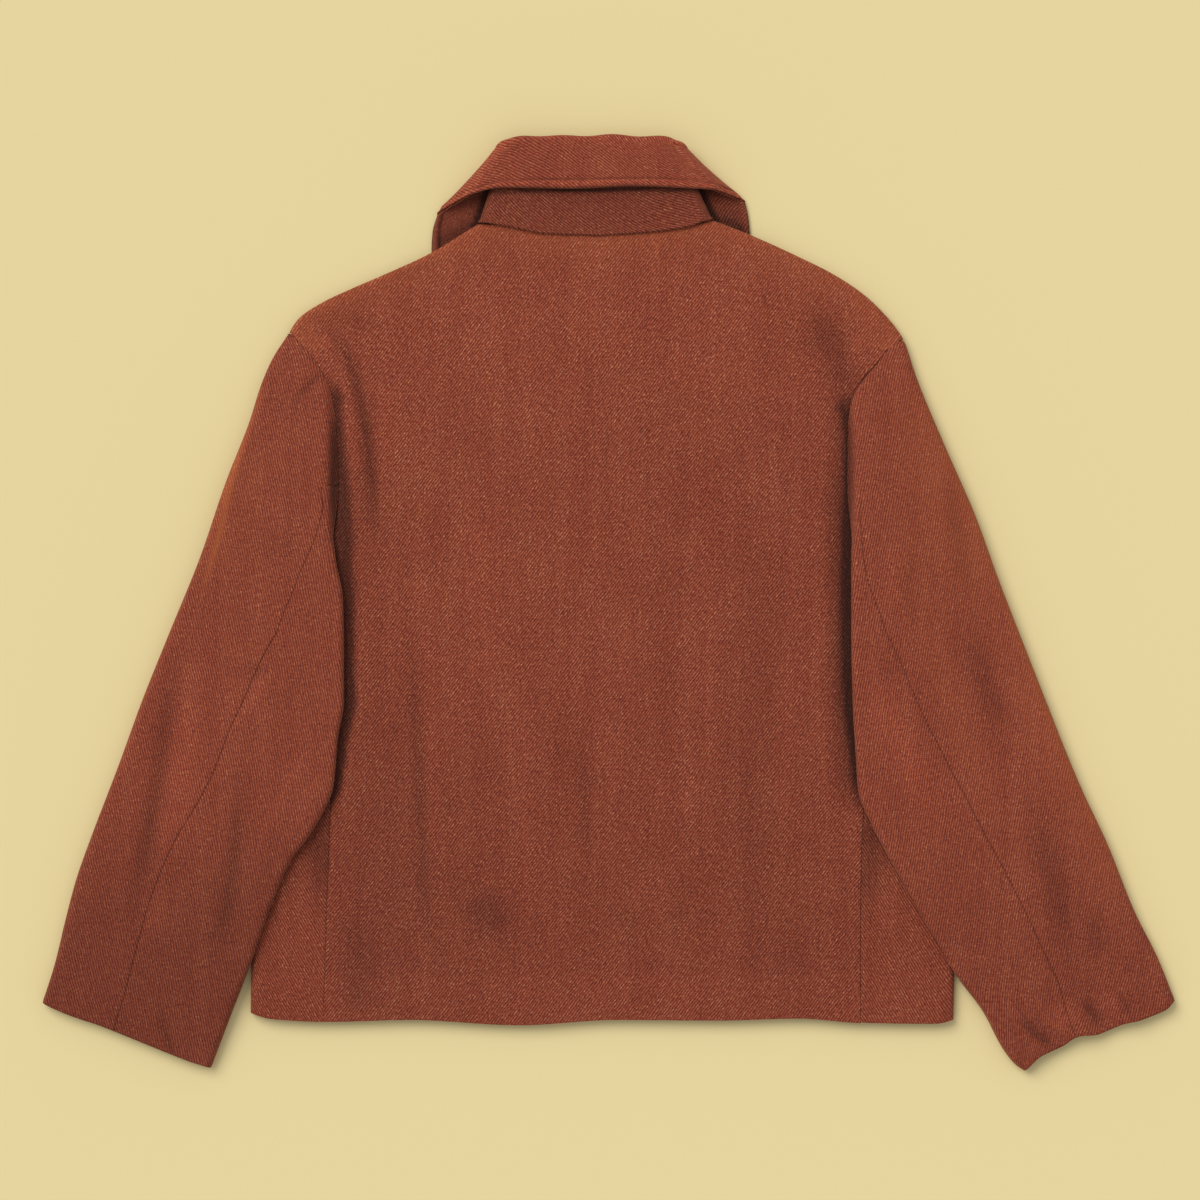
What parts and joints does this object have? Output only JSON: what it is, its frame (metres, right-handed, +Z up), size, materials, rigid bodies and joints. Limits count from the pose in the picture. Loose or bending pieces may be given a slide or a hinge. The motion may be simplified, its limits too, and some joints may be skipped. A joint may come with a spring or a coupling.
{
  "type": "wool jacket",
  "caption": "Boxy cropped wool twill jacket with a folded collar and set-in two-piece sleeves, lying flat with its back up.",
  "frame": {"origin": "on the surface that the jacket lies on, under the middle of its bounding box", "axes": "+Z up from the surface, +Y from the hem towards the collar, +X towards the sleeve at the picture's right"},
  "size_m": [0.8466, 0.7005, 0.0198],
  "materials": {
    "back_wool": "heathered rust-brown wool twill with a soft nap",
    "front_left_wool": "heathered rust-brown wool twill with a soft nap",
    "front_right_wool": "heathered rust-brown wool twill with a soft nap",
    "sleeve_left_top_wool": "heathered rust-brown wool twill with a soft nap",
    "sleeve_left_under_wool": "heathered rust-brown wool twill with a soft nap",
    "sleeve_right_top_wool": "heathered rust-brown wool twill with a soft nap",
    "sleeve_right_under_wool": "heathered rust-brown wool twill with a soft nap",
    "collar_top_wool": "heathered rust-brown wool twill with a soft nap",
    "collar_under_wool": "heathered rust-brown wool twill with a soft nap"
  },
  "bodies": {
    "root": {"back": "back_wool", "front_left": "front_left_wool", "front_right": "front_right_wool", "sleeve_left_top": "sleeve_left_top_wool", "sleeve_left_under": "sleeve_left_under_wool", "sleeve_right_top": "sleeve_right_top_wool", "sleeve_right_under": "sleeve_right_under_wool", "collar_top": "collar_top_wool", "collar_under": "collar_under_wool"}
  },
  "joints": []
}
